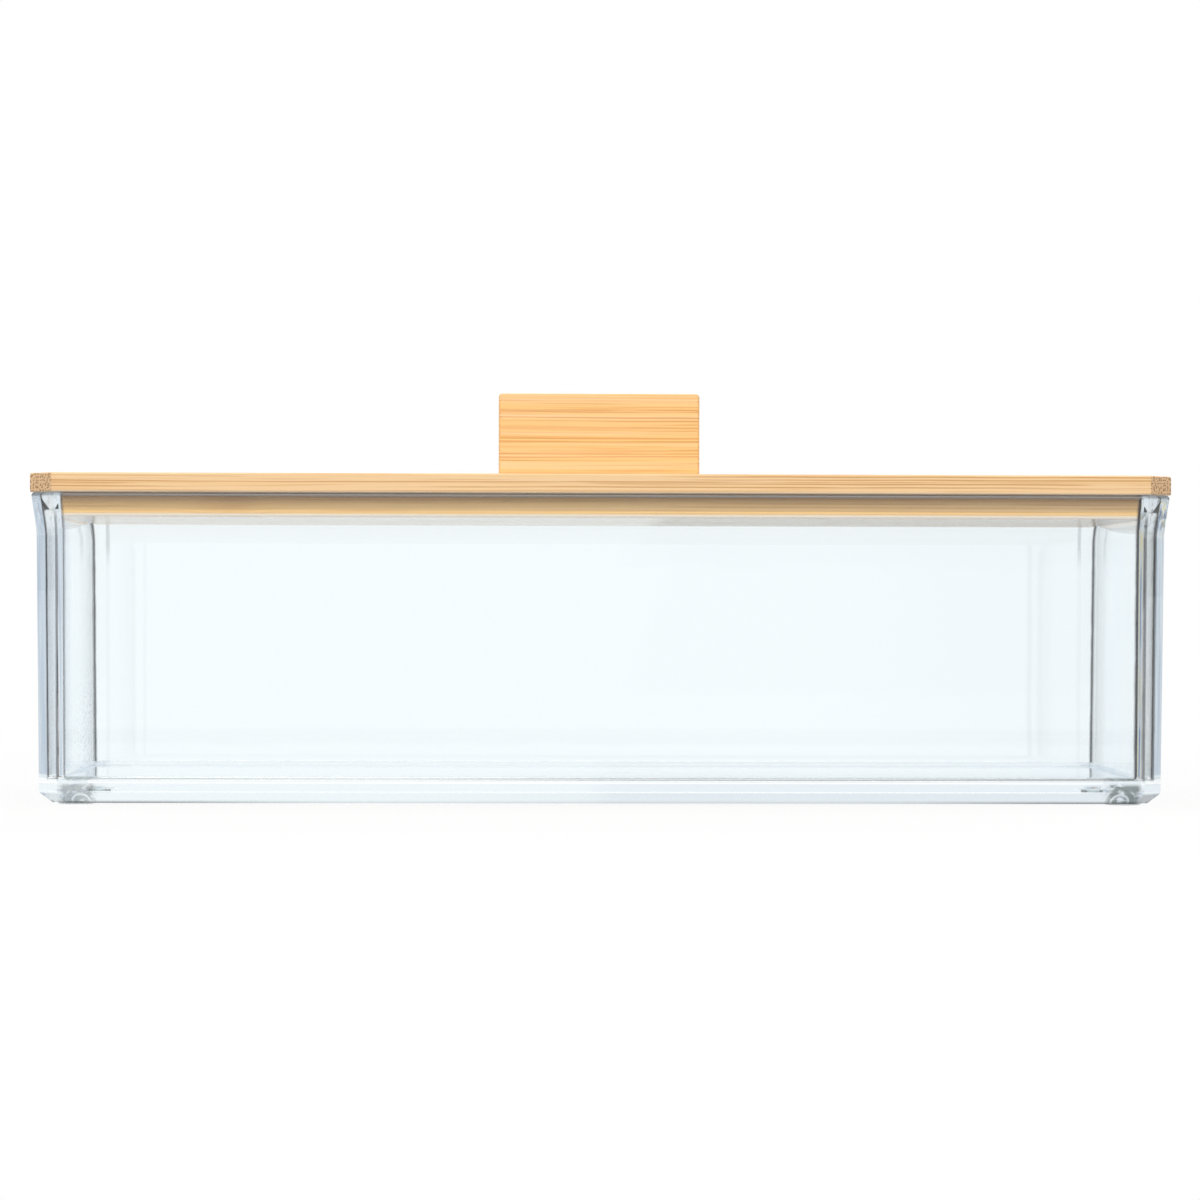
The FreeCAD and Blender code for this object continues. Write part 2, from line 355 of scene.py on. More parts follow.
class Wire:
    """An output socket that arithmetic works on: each operation adds a Math node."""

    def __init__(self, shader, socket):
        self.shader = shader
        self.socket = socket

    def __add__(self, other):
        return self.shader.math("ADD", self, other)

    def __sub__(self, other):
        return self.shader.math("SUBTRACT", self, other)

    def __rsub__(self, other):
        return self.shader.math("SUBTRACT", other, self)

    def __mul__(self, other):
        return self.shader.math("MULTIPLY", self, other)

    def __truediv__(self, other):
        return self.shader.math("DIVIDE", self, other)

    def __neg__(self):
        return self.shader.math("SUBTRACT", 0.0, self)

    def __abs__(self):
        return self.shader.math("ABSOLUTE", self)

    __radd__ = __add__
    __rmul__ = __mul__

    def smooth(self, low, high):
        """0 below low and 1 above high, with a smooth step between."""
        settings = {"interpolation_type": "SMOOTHSTEP"}
        return self.shader.node("ShaderNodeMapRange", settings, {0: self, 1: low, 2: high})

    def fade(self, low, high):
        """1 below low and 0 above high, with a smooth step between."""
        return 1.0 - self.smooth(low, high)

    def band(self, start, full, thin, end):
        """0 up to start, 1 from full to thin and 0 again from end."""
        return self.smooth(start, full) * self.fade(thin, end)


class Shader:
    """The node tree of one material, or of the world."""

    def __init__(self, owner):
        owner.use_nodes = True
        self.tree = owner.node_tree
        self.tree.nodes.clear()

    def node(self, kind, settings=None, inputs=None, output=0):
        """Adds a node, sets its settings, then gives its inputs values or links."""
        made = self.tree.nodes.new(kind)
        for name, value in (settings or {}).items():
            setattr(made, name, value)
        for name, value in (inputs or {}).items():
            if isinstance(value, Wire):
                self.tree.links.new(value.socket, made.inputs[name])
            else:
                made.inputs[name].default_value = value
        return Wire(self, made.outputs[output]) if len(made.outputs) else None

    def math(self, operation, *values):
        return self.node("ShaderNodeMath", {"operation": operation}, dict(enumerate(values)))

    def largest(self, first, *others):
        """The largest of several numbers."""
        for other in others:
            first = self.math("MAXIMUM", first, other)
        return first

    def join(self, x, y, z):
        return self.node("ShaderNodeCombineXYZ", None, {0: x, 1: y, 2: z})

    def split(self, vector):
        """The three numbers of a vector or colour."""
        first = self.node("ShaderNodeSeparateXYZ", None, {0: vector})
        return [Wire(self, socket) for socket in first.socket.node.outputs]

    def mix(self, factor, first, second):
        """Colour that runs from first to second as factor goes from 0 to 1."""
        inputs = {0: factor, 6: rgba(first), 7: rgba(second)}
        return self.node("ShaderNodeMix", {"data_type": "RGBA"}, inputs, 2)

    def blend(self, factor, first, second):
        """Shader that runs from first to second as factor goes from 0 to 1."""
        return self.node("ShaderNodeMixShader", None, {0: factor, 1: first, 2: second})

    def glow(self, colour):
        """Shader that gives off an even light of a colour."""
        return self.node("ShaderNodeEmission", None, {0: rgba(colour), 1: 1.0})

    def far(self, first, second):
        """The length of a two-part vector."""
        return self.math("SQRT", first * first + second * second)

    def light_path(self):
        """The Light Path node's outputs by name."""
        first = self.node("ShaderNodeLightPath")
        return {socket.name: Wire(self, socket) for socket in first.socket.node.outputs}

    def coordinate(self, name):
        """A Texture Coordinate node's output."""
        return self.node("ShaderNodeTexCoord", None, None, name)

    def place(self):
        """Object coordinates in millimetres, as three numbers."""
        inputs = {0: self.coordinate("Object"), 3: 1 / MM}
        return self.split(self.node("ShaderNodeVectorMath", {"operation": "SCALE"}, inputs))

    def noise(self, x, y, z, detail, output=0):
        inputs = {"Vector": self.join(x, y, z), "Scale": 1.0, "Detail": detail}
        return self.node("ShaderNodeTexNoise", None, inputs, output)

    def bump(self, height, distance, strength):
        inputs = {"Height": height, "Distance": distance, "Strength": strength}
        return self.node("ShaderNodeBump", None, inputs)

    def finish(self, surface, kind="ShaderNodeOutputMaterial"):
        self.node(kind, None, {0: surface})


def rgba(colour):
    """A three-part colour as a socket's four; a Wire stays as it is."""
    return colour if isinstance(colour, Wire) else (*colour, 1.0)


# ---- bamboo -------------------------------------------------------------------------------------


def bamboo(name, look, shift, gold, joint, cut_from, lower_edge=0.0, light=0.0, painted_shade=0.0):
    """Sanded, lacquered bamboo whose fibres run along X, moved in its pattern by shift millimetres.

    gold is 0 for pale wood and 1 for golden.  The board is glued up from strips, numbered n from
    the middle one, and a strip's stalk has its joint at X = joint + 90 mm sin(2.4 n).  Fibres
    bulge round it by exp(-(distance / 7 mm) squared).  A face counts as a cut end from the share
    cut_from of its normal along X.  light is the strength of the light that the clear box throws
    up at the underside.  painted_shade is the share of the fibres' colour laid all over as painted
    shade, which also darkens the joints more.
    """
    joint_swing, joint_turn, joint_reach = 90.0, 2.4, 7.0
    material = bpy.data.materials.new(name)
    shader = Shader(material)
    x, y, z = shader.place()
    strip = shader.math("FLOOR", y / (look.strip / MM) + 0.5)
    off = (x - joint - shader.math("SINE", strip * joint_turn) * joint_swing) / joint_reach
    bulge = shader.math("EXPONENT", -(off * off))
    height = z + shift[2] + bulge * 0.9
    fibre, dot, end, fine, broad = fibres(shader, look, x + shift[0], y + shift[1], height)

    tone = shader.node("ShaderNodeTexWhiteNoise", {"noise_dimensions": "1D"}, {"W": strip})
    mood = broad + (tone - 0.5) * 0.16 + (fine - 0.5) * 0.22
    warmth = (mood + (gold - 0.5) * 0.34).smooth(0.36, 0.66)
    side = shader.mix(warmth, look.pale, look.warm)
    # painted_shade lays the fibres' dark colour over the whole face and its joints as painted shade
    knot = bulge * (0.12 + 0.6 * painted_shade)
    side = shader.mix(fibre * (0.76 - painted_shade) + knot + painted_shade, side, look.fibre)
    facing = shader.split(shader.coordinate("Normal"))
    cut = abs(facing[0]).smooth(cut_from, cut_from + 0.2)
    under = (-facing[2]).smooth(0.55, 0.95)
    # painted highlight on the rounded lower edges, where they catch the light from below
    edge_highlight = (-facing[2]).band(0.25, 0.60, 0.93, 0.99)
    side = shader.mix(edge_highlight * 0.8, side, look.edge_highlight)
    inputs = {
        "Base Color": shader.mix(cut, side, end),
        "Roughness": 0.42 + 0.12 * fibre + 0.16 * cut - 0.26 * under,
        "IOR": 1.50,
        "Emission Color": underglow(shader, look, x, z - lower_edge, under, edge_highlight),
        "Emission Strength": light,
        "Normal": shader.bump(fine * 0.3 - dot * 0.7, 0.02 * MM, 0.30),
    }
    shader.finish(shader.node("ShaderNodeBsdfPrincipled", None, inputs))
    return material


def fibres(shader, look, x, y, z):
    """Fibre lines, fibre dots, the colour of cut ends, and the wood's fine and broad grain.

    Each fibre bundle is a dot in a cell of a pattern across Y and Z that hardly changes along X,
    so sides show it as a long line and cut ends as a dot.
    """
    bend = 1.6
    pitch = look.pitch / MM
    drift = shader.split(shader.noise(x * 0.008, y * 0.06, z * 0.06, 3.0, 1))
    y = y + (drift[0] - 0.5) * bend
    z = z + (drift[1] - 0.5) * bend
    settings = {"voronoi_dimensions": "2D", "feature": "F1"}
    inputs = {"Vector": shader.join(y / pitch, z / pitch, 0.0), "Scale": 1.0, "Randomness": 0.85}
    distance = shader.node("ShaderNodeTexVoronoi", settings, inputs, "Distance")
    chance = shader.split(Wire(shader, distance.socket.node.outputs["Color"]))
    dot = distance.fade(0.14, 0.40)
    fading = shader.noise(x * 0.03, y * 0.9, z * 0.9, 2.0)
    bundle = dot * chance[0].smooth(-0.6, 0.50) * fading.smooth(0.22, 0.46)
    hair = shader.noise(x * 0.025, y * 2.7, z * 2.7, 1.0)
    fibre = shader.largest(bundle, hair.smooth(0.50, 0.70) * 0.5)
    broad = shader.noise(x * 0.004, y * 0.55, z * 0.55, 4.0)
    fine = shader.noise(x * 0.02, y * 5.0, z * 5.0, 2.0)
    spot = distance.fade(0.16, 0.42) * (0.5 + 0.5 * chance[1])
    end = shader.mix(spot, look.end_wood, look.end_fibre)
    return fibre, dot, end, fine, broad


def underglow(shader, look, x, above, under, edge_highlight):
    """Light under a board: warm low on its sides, grey underneath, and none to the right there."""
    right = x.smooth(10.0, 16.0)
    low = 1.0 - 0.8 * above.smooth(1.15, 1.75) - 0.2 * above.smooth(1.4, 4.2)
    light = shader.mix(low, BLACK, look.warm)
    light = shader.mix(under, light, look.under)
    light = shader.mix(under * right, light, BLACK)
    # the rounded lower edges glow in their painted highlight colour
    return shader.mix(edge_highlight, light, look.edge_highlight)


# ---- clear plastic ------------------------------------------------------------------------------


class ClearWalls(Shader):
    """The clear plastic's node tree, which knows the moulding's faces, edges and heights.

    Lengths are millimetres, and across and along are the sizes of x and y.  The rim's outline is
    2 wide by 2 deep, with corners clipped by leg.  Where the outer face lies i = outset inside it,
    the inner faces lie j = i + wall inside it.  Their upright edges stand where (across, along) is
    (wide - j, deep - leg - k j) and (wide - leg - k j, deep - j), and k is root 2 - 1.  Over a
    clipped face, u = (along - deep + leg + k i) / (leg - i + k i): 0 at the side, 1 at the front.
    """

    def __init__(self, owner, sizes, look):
        super().__init__(owner)
        low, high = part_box("box_body")
        lid_low, lid_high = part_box("lid_board")
        pad_low, pad_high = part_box("foot_front_right")
        k = math.sqrt(2) - 1
        wall = sizes.wall / MM
        leg = sizes.corner_leg / MM
        self.look = look
        self.wide = (lid_high.x - lid_low.x) / 2 / MM - sizes.setback / MM
        self.deep = (lid_high.y - lid_low.y) / 2 / MM - sizes.setback / MM
        self.foot_x = (pad_low.x + pad_high.x) / 2 / MM
        self.low = low.z / MM
        self.top = high.z / MM
        self.floor = (low.z + sizes.base) / MM
        self.shoulder = self.top - sizes.flare_height / MM
        self.bevel = (low.z + sizes.bevel_height) / MM

        # where a point lies and which way it faces
        self.x, self.y, self.z = self.place()
        self.across = abs(self.x)
        self.along = abs(self.y)
        self.behind = self.y.smooth(-5.0, 5.0)
        self.ahead = 1.0 - self.behind
        self.right = self.x.smooth(-5.0, 5.0)
        self.facing = [abs(part) for part in self.split(self.coordinate("Normal"))]
        self.diagonal = self.math("MINIMUM", self.facing[0], self.facing[1])

        # the walls' faces at its height, and its distances from their edges
        flare = (self.top - self.z) * (sizes.flare_reach / sizes.flare_height)
        draft = sizes.draft_reach / MM / (self.shoulder - self.bevel)
        lean = sizes.flare_reach / MM + (self.shoulder - self.z) * draft
        outset = self.math("MINIMUM", flare, lean)
        inset = outset + wall
        self.waver = self.noise(self.x * 0.4, self.y * 0.4, self.z * 0.18, 3.0)
        self.side_edge = self.far(
            self.across - (self.wide - inset), self.along - (self.deep - leg - inset * k)
        )
        self.long_edge = self.far(
            self.across - (self.wide - leg - inset * k), self.along - (self.deep - inset)
        )
        self.beyond = self.across - (self.wide - leg - outset * k)
        self.outer_edge = self.far(self.beyond, self.along - (self.deep - outset))
        u = (self.along - (self.deep - leg) + outset * k) / (leg - (1.0 - k) * outset)
        self.u = u + 0.04 * (self.waver - 0.5)
        middle = self.wide + self.deep - leg - (inset - wall / 2) * math.sqrt(2)
        self.inner = self.math("LESS_THAN", self.across + self.along, middle)
        self.clip = self.diagonal.smooth(0.50, 0.66)
        self.outer = (1.0 - self.inner) * self.ahead
        self.upright = self.z.band(self.floor - 0.2, self.floor + 0.4, self.top - 6.1, self.top - 3.1)
        self.front_face = self.along.smooth(self.deep - 2.4, self.deep - 1.9) * self.ahead


def inner_edges(box):
    """Painted shade along the upright edges of the inner faces, with a knot under the rim."""
    z, top, behind, right = box.z, box.top, box.behind, box.right
    left_front = box.ahead * (1.0 - right)
    knot = z.band(top - 4.0, top - 3.6, top - 3.1, top - 1.3)
    reach = 0.65 + 0.6 * box.waver
    side_edge = (box.side_edge / (reach + 0.9 * knot)).fade(0.35, 1.0)
    long_reach = reach - 0.25 * behind - 0.35 * left_front
    long_edge = (box.long_edge / long_reach).fade(0.35, 1.0)
    lower = z.fade(box.shoulder - 8.0, box.shoulder - 1.0)
    long_edge = long_edge * (1.0 - behind * (0.5 + 0.42 * lower)) * (1.0 - 0.35 * left_front)
    edge = box.largest(side_edge, long_edge)
    return edge * z.smooth(box.floor - 0.3, box.floor + 0.6)


def corner_lines(box):
    """Painted shade in lines up the front corners, and at the mouth in a wedge on a ledge, and a
    spot.
    """
    z, top, u, right = box.z, box.top, box.u, box.right
    centre = abs(u - 0.50).fade(0.03 + 0.04 * right, 0.07 + 0.05 * right)
    centre = centre * (0.75 + 0.25 * right) * box.upright * 0.9
    slip = (top - 1.2 - z) / 2.65
    wedge = abs(u - (0.40 + 0.26 * slip)).fade(0.01 + 0.08 * slip, 0.04 + 0.12 * slip)
    wedge = wedge * slip.band(-0.1, 0.1, 0.98, 1.06)
    ledge = abs(z - (top - 3.9)).fade(0.10, 0.28) * u.smooth(0.60, 0.70) * 0.35
    outer = box.outer_edge.fade(0.20, 0.50 + 0.15 * right)
    outer = outer * box.outer * box.upright * 0.8
    drop = top - 2.5 - z
    spot = abs(box.beyond + 0.9 - 0.3 * drop).fade(0.25 * drop, 0.35 * drop + 0.08)
    spot = spot * drop.band(0.0, 0.2, 1.25, 1.40)
    clipped = box.clip * box.outer * box.largest(centre, wedge, ledge)
    return box.largest(clipped, outer, box.front_face * spot)


def corner_shade(box):
    """Painted shade over the clipped corners and beside them, with a mottle at the front of the
    mouth.
    """
    right, upright = box.right, box.upright
    shade = right * (0.09 + 0.40 * box.u.band(0.46, 0.52, 0.60, 0.75))
    shade = shade * box.clip * box.outer * upright
    shade = shade + box.clip * (0.01 + 0.05 * right) * (1.0 - 0.8 * box.behind)
    beside = box.beyond.band(-1.8, -1.5, 0.0, 0.1) * upright * box.front_face
    shade = shade + beside * (0.05 + 0.40 * right)
    mottle = box.noise(box.x * 0.8, box.y * 0.8, box.z * 0.5, 2.0)
    mouth = box.across.smooth(box.wide - 8.0, box.wide - 6.5)
    mouth = mouth * box.z.smooth(box.shoulder + 0.5, box.shoulder + 2.0)
    mouth = mouth * (-box.y).smooth(box.deep - 9.0, box.deep - 6.5)
    return shade + mottle.smooth(0.52, 0.62) * mouth * (0.25 + 0.35 * right)


def feet_shade(box):
    """Painted shade, mottled and ringed, over the front feet, which show through the base's edge."""
    across, floor = box.across, box.floor
    mark = box.foot_x - 1.65
    grain = box.noise(box.x * 0.35, box.y * 0.35, box.z * 0.6, 3.0)
    painted_grey = across.band(mark - 4.0, mark - 2.0, mark + 3.5, mark + 5.5)
    painted_grey = painted_grey * box.z.fade(floor - 1.2, floor) * grain.smooth(0.32, 0.50)
    painted_grey = painted_grey * (-box.y).smooth(box.deep - 8.0, box.deep - 5.0)
    painted_grey = painted_grey * (0.75 + 0.2 * box.right)
    ring = box.math("SINE", box.far(across - mark, box.z - 0.5) * 4.0)
    ring = ring.smooth(0.3, 0.9) * box.z.fade(2.6, 3.4)
    return painted_grey * (1.0 - 0.7 * ring * across.fade(mark + 2.0, mark + 3.5))


def floor_bend(box):
    """The radius between the floor and the walls."""
    floor = box.floor
    bend = box.facing[2].band(0.15, 0.40, 0.85, 0.98)
    return bend * box.z.band(floor - 0.3, floor, floor + 1.2, floor + 1.5)


def glass(box, edges, marks, bend):
    """The polished plastic itself, with painted shade in its colour where its edges gather the dark.
    """
    x, y, z, look = box.x, box.y, box.z, box.look
    dark = look.edge
    # painted shade: a darker rim, a darker sole round the base's outer edges, grey ends of the side
    # walls, a darker chamfer
    rim = z.smooth(box.top - 1.1, box.top - 0.5)
    outer = box.largest(box.across - box.wide, box.along - box.deep)
    sole = z.fade(box.low + 0.1, box.low + 0.9) * outer.smooth(-5.5, -5.0)
    sole = sole * (0.35 + 0.6 * box.across.smooth(50.0, 105.0))
    ends = box.facing[0].smooth(0.90, 0.98) * box.along.smooth(14.0, 36.0)
    ends = ends * (0.15 + 0.6 * box.waver) * (1.9 - 0.9 * box.behind)
    ends = ends * (1.0 - 0.25 * box.right)
    chamfer = box.diagonal.smooth(0.30, 0.40)
    chamfer = chamfer * z.fade(box.bevel - 0.3, box.bevel + 0.1)
    # painted shade: duller and bluer towards the right, then over corners, ends, bend, feet, rim,
    # sole, edges and chamfer
    colour = box.mix(x.smooth(40.0, 110.0) * 0.03, look.tint, look.trapped)
    colour = box.mix(corner_shade(box), colour, dark)
    colour = box.mix(ends + bend * (0.30 - 0.2 * box.behind), colour, dark)
    colour = box.mix(marks, colour, look.painted_grey)
    colour = box.mix(rim * 0.8 + sole, colour, dark)
    colour = box.mix(box.largest(edges, corner_lines(box)), colour, dark)
    colour = box.mix(chamfer * (0.35 + 0.40 * box.right), colour, dark)
    peel = box.noise(x * 0.05, y * 0.05, z * 0.05, 2.0)
    inputs = {
        "Base Color": colour,
        "Roughness": look.gloss + rim * 0.3,
        "IOR": look.ior,
        "Transmission Weight": 1.0,
        "Normal": box.bump(peel, 0.05 * MM, 0.25),
    }
    return box.node("ShaderNodeBsdfPrincipled", None, inputs)


def trapped_light(box, corner_glow):
    """Light that leaks from the walls in pale streaks, with coloured fringes on the right."""
    x, y, z, look = box.x, box.y, box.z, box.look
    streaks = box.noise(x * 1.4, y * 1.4, z * 0.035, 2.0)
    corner = box.across.smooth(box.wide - 9.0, box.wide - 6.0)
    corner = corner * z.smooth(box.floor - 0.4, box.floor + 0.4)
    pale = box.largest(streaks.smooth(0.36, 0.60) * 0.8, corner_glow, 1.0 - corner)
    light = box.blend(pale * (1.0 - 0.12 * box.right), box.glow(look.trapped), box.glow(look.leak))
    fringe = box.noise(x * 2.6, y * 0.3, z * 0.045, 1.0)
    fringed = box.right * box.across.smooth(box.wide - 4.5, box.wide - 3.5)
    fringed = fringed * box.ahead * corner * 0.8
    yellow = fringed * fringe.smooth(0.51, 0.58)
    blue = fringed * fringe.fade(0.36, 0.43)
    light = box.blend(yellow, light, box.glow(look.yellow))
    return box.blend(blue, light, box.glow(look.blue))


def clear_plastic(sizes, look):
    """Polished clear plastic with painted shade along its edges, that lets lamps through.

    Over it lie painted light, which is the light that is trapped in it, and painted shade, which
    is a dull glow on the left wall and a dark glow at the front of the floor and along its edge.
    """
    material = bpy.data.materials.new("clear_plastic")
    box = ClearWalls(material, sizes, look)
    x, y, z, floor = box.x, box.y, box.z, box.floor
    edges = inner_edges(box)
    # marks carries the painted shade over the front feet
    marks = feet_shade(box)
    bend = floor_bend(box)
    path = box.light_path()
    # painted light: a pale glow over the inner clipped faces at the front corners of the mouth
    corner_glow = box.clip * box.inner * z.smooth(box.shoulder - 1.0, box.shoulder + 1.5)
    corner_glow = corner_glow * (1.0 - edges) * box.ahead * 0.85
    middle = x.smooth(-60.0, 20.0)
    level = box.facing[2].smooth(0.98, 1.0)
    level = level * z.band(floor - 0.3, floor - 0.1, floor + 0.1, floor + 0.3)
    under_rim = z.band(box.top - 1.0, box.top - 0.8, box.top - 0.5, box.top - 0.3)
    under_rim = under_rim * box.along.smooth(box.deep - 1.5, box.deep - 1.0)
    bar = z.band(floor - 1.25, floor - 1.05, floor - 0.2, floor) * box.front_face
    leak = box.largest(
        box.math("GREATER_THAN", path["Glossy Depth"], look.echoes + 0.5),
        corner_glow,
        under_rim * 0.12,
        bend * box.behind * 0.6,
        level * (0.05 + 0.17 * middle) * y.fade(-40.0, 36.0),
        bar * (1.0 - marks) * 0.8,
    )
    seen = box.blend(leak, glass(box, edges, marks, bend), trapped_light(box, corner_glow))

    # painted shade: a dull bluish glow over the left inner wall's front part, and in dots lower down
    # further back
    left_wall = box.facing[0].smooth(0.90, 0.98) * (1.0 - box.right)
    left_wall = left_wall * box.across.fade(box.wide - 2.0, box.wide - 1.8)
    dots = box.noise(x * 1.0, y * 0.5, z * 1.3, 2.0).smooth(0.50, 0.62)
    dots = dots * y.smooth(-12.0, 30.0) * z.fade(10.0, 40.0) * 0.36
    left_wall_glow = left_wall * (0.30 * y.fade(-16.0, 0.0) + dots)
    seen = box.blend(left_wall_glow, seen, box.glow(look.trapped))

    # painted shade: a dark line along the floor's front edge, and darker towards the front of the
    # floor, more on the right
    floor_edge_line = box.facing[2].smooth(0.70, 0.80) * box.ahead
    floor_edge_line = floor_edge_line * z.band(floor - 0.1, floor, floor + 0.12, floor + 0.24)
    floor_edge_line = floor_edge_line * box.along.smooth(box.deep - 6.25, box.deep - 5.95)
    floor_shade = level * (-y).smooth(-10.0, 38.0) * (0.01 + 0.06 * middle)
    floor_shade = floor_shade + floor_edge_line * (0.15 + 0.55 * middle)
    seen = box.blend(floor_shade, seen, box.glow(look.painted_grey))

    passing = box.largest(path["Is Shadow Ray"], path["Is Diffuse Ray"])
    through = box.node("ShaderNodeBsdfTransparent", None, {0: rgba(look.tint)})
    box.finish(box.blend(passing, seen, through))
    return material


# ---- soft pads and screws -----------------------------------------------------------------------


def soft_pad(look):
    """Milky translucent rubber with a fine grain."""
    material = bpy.data.materials.new("soft_pad")
    shader = Shader(material)
    x, y, z = shader.place()
    grain = shader.noise(x * 6.0, y * 6.0, z * 6.0, 2.0)
    inputs = {
        "Base Color": shader.mix(grain * 0.4, look.pad, look.pad_light),
        "Roughness": 0.35 + 0.2 * grain,
        "IOR": 1.41,
        "Transmission Weight": 0.55,
        "Normal": shader.bump(grain, 0.02 * MM, 0.4),
    }
    shader.finish(shader.node("ShaderNodeBsdfPrincipled", None, inputs))
    return material


def screw_steel():
    """Zinc-plated steel with fine turning marks."""
    bright, dull = (0.66, 0.65, 0.62), (0.52, 0.51, 0.49)
    material = bpy.data.materials.new("screw_steel")
    shader = Shader(material)
    x, y, z = shader.place()
    marks = shader.noise(x * 1.5, y * 1.5, z * 14.0, 3.0)
    inputs = {
        "Base Color": shader.mix(marks, bright, dull),
        "Metallic": 1.0,
        "Roughness": 0.28 + 0.22 * marks,
        "Normal": shader.bump(marks, 0.02 * MM, 0.4),
    }
    shader.finish(shader.node("ShaderNodeBsdfPrincipled", None, inputs))
    return material


# ---- pieces -------------------------------------------------------------------------------------


def outline_inset(sizes, height):
    """How far the box's outer face lies inside the rim's outline at a height."""
    low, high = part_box("box_body")
    shoulder = high.z - sizes.flare_height
    if height >= shoulder:
        return sizes.flare_reach * (high.z - height) / sizes.flare_height
    bevel = low.z + sizes.bevel_height
    return sizes.flare_reach + sizes.draft_reach * (shoulder - height) / (shoulder - bevel)


def rim_outline(sizes):
    """The outline of the box at its rim, a set distance inside the lid's."""
    low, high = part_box("lid_board")
    return clipped_outline(
        high.x - low.x - 2 * sizes.setback, high.y - low.y - 2 * sizes.setback, sizes.corner_leg
    )


def round_pocket(skin, centre, radius, mouth, roof, edge):
    """A round blind hole in a flat underside; returns the loop at its mouth."""
    stations = profile(
        (radius - LEVEL_RUN, roof, 0),
        (radius, roof, edge),
        (radius, mouth, edge),
        (radius + 2 * edge, mouth, 0),
    )
    top, bottom = skin.grid(turned_ring(centre, stations))
    skin.cap(-1, top)
    return bottom


class BOXLID_OT_clear_box(bpy.types.Operator):
    """Make the clear moulding with its flared mouth, bevelled base, foot pockets and recess"""

    bl_idname = "boxlid.clear_box"
    bl_label = "Clear box"

    def execute(self, context):
        sizes = context.scene.boxlid_box
        low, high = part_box("box_body")
        floor = low.z + sizes.base
        bevel = low.z + sizes.bevel_height
        shoulder = high.z - sizes.flare_height
        foot = outline_inset(sizes, bevel) + sizes.bevel_reach
        wall = sizes.wall
        outer = profile(
            (-foot - LEVEL_RUN, low.z, 0),
            (-foot, low.z, sizes.bevel_radius),
            (-outline_inset(sizes, bevel), bevel, sizes.bevel_radius),
            (-sizes.flare_reach, shoulder, sizes.flare_blend),
            (0, high.z, sizes.rim_radius),
            (-wall / 2, high.z, 0),
        )
        inner = profile(
            (-wall / 2, high.z, 0),
            (-wall, high.z, sizes.rim_radius),
            (-sizes.flare_reach - wall, shoulder, sizes.flare_blend),
            (-outline_inset(sizes, floor) - wall, floor, sizes.floor_radius),
            (-outline_inset(sizes, floor) - wall - 2 * sizes.floor_radius, floor, 0),
        )
        stations = [np.concatenate([a, b[1:]]) for a, b in zip(outer, inner)]
        counts = [len(outer[0]), len(inner[0]) - 1]
        rounding = np.repeat([sizes.outer_corner, sizes.inner_corner], counts)
        skin = Skin()
        under, inside = skin.grid(swept_ring(rim_outline(sizes), rounding, stations))
        skin.cap(1, inside)
        roof = low.z + sizes.recess_depth
        mouths = [round_pocket(skin, (0, 0), sizes.recess_radius, low.z, roof, sizes.soft_edge)]
        roof = low.z + sizes.pocket_depth
        for name in FEET:
            pad_low, pad_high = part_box(name)
            centre = (pad_low + pad_high).xy / 2
            radius = (pad_high.x - pad_low.x) / 2 + sizes.pocket_gap
            mouths.append(round_pocket(skin, centre, radius, low.z, roof, sizes.soft_edge))
        skin.cap(-1, under, *mouths)
        material = clear_plastic(sizes, context.scene.boxlid_plastic)
        skin.build("clear_box", material, "box", "box_body")
        return {"FINISHED"}


class BOXLID_OT_feet(bpy.types.Operator):
    """Make the four soft round feet in their pockets"""

    bl_idname = "boxlid.feet"
    bl_label = "Feet"

    def execute(self, context):
        lower_edge = 0.25 * MM
        upper_edge = 0.15 * MM
        material = soft_pad(context.scene.boxlid_plastic)
        for name in FEET:
            low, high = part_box(name)
            radius = (high.x - low.x) / 2
            stations = profile(
                (radius / 2, low.z, 0),
                (radius, low.z, lower_edge),
                (radius, high.z, upper_edge),
                (radius / 2, high.z, 0),
            )
            skin = Skin()
            under, top = skin.grid(turned_ring((low + high).xy / 2, stations))
            skin.cap(-1, under)
            skin.cap(1, top)
            skin.build("pad_" + name[5:], material, "box", name)
        return {"FINISHED"}


